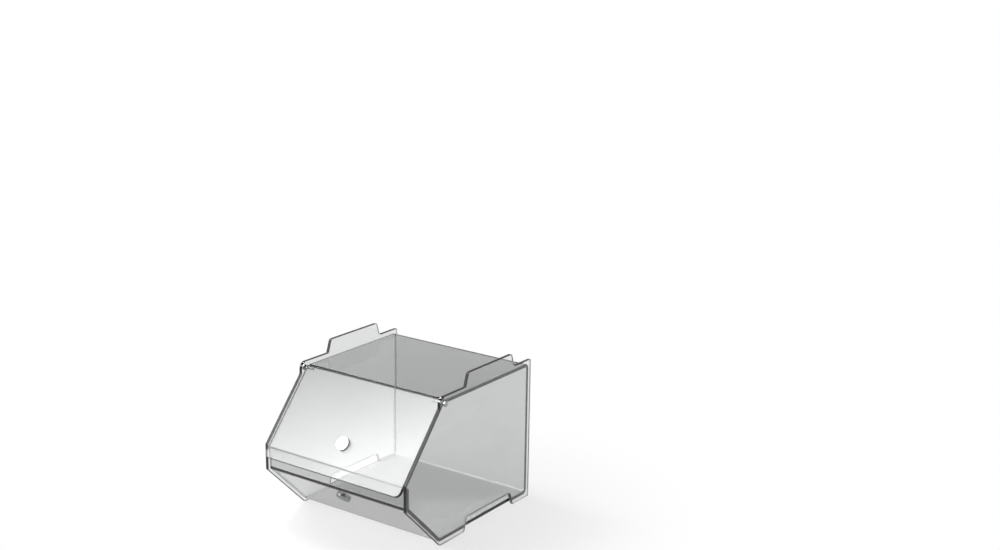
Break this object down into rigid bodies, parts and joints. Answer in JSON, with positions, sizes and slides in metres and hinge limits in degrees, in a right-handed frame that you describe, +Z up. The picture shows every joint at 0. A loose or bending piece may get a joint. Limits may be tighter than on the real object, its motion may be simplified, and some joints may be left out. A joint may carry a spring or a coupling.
{
  "type": "stackable food bin",
  "caption": "Clear sheet countertop bin with a sloped top-hung door, polished pull disc, and tabs and notches that lock it into a stack.",
  "frame": {"origin": "bottom centre of the bin's overall box with the door closed, on the plane of the feet", "axes": "+Z up, -Y the door side, +X the bin's right hand side seen from the front"},
  "size_m": [0.3068, 0.3522, 0.275],
  "materials": {
    "side_sheet": "polished clear acrylic sheet",
    "body_sheet": "polished clear acrylic sheet, heat bent",
    "door_sheet": "polished clear acrylic sheet",
    "polished_metal": "mirror polished",
    "screw_steel": "plain steel"
  },
  "bodies": {
    "bin": {"side_panel_left": "side_sheet", "side_panel_right": "side_sheet", "body_wrap": "body_sheet", "catch_disc": "polished_metal", "catch_disc_screw": "screw_steel"},
    "door": {"door_panel": "door_sheet", "hinge_pin_left": "polished_metal", "hinge_pin_right": "polished_metal", "door_knob": "polished_metal", "door_knob_screw": "screw_steel"}
  },
  "joints": [
    {"name": "door_hinge", "type": "hinge", "parent": "bin", "child": "door", "pos_m": [0, -0.0664, 0.24], "axis": [-1, 0, 0], "range_deg": [0, 174]}
  ]
}
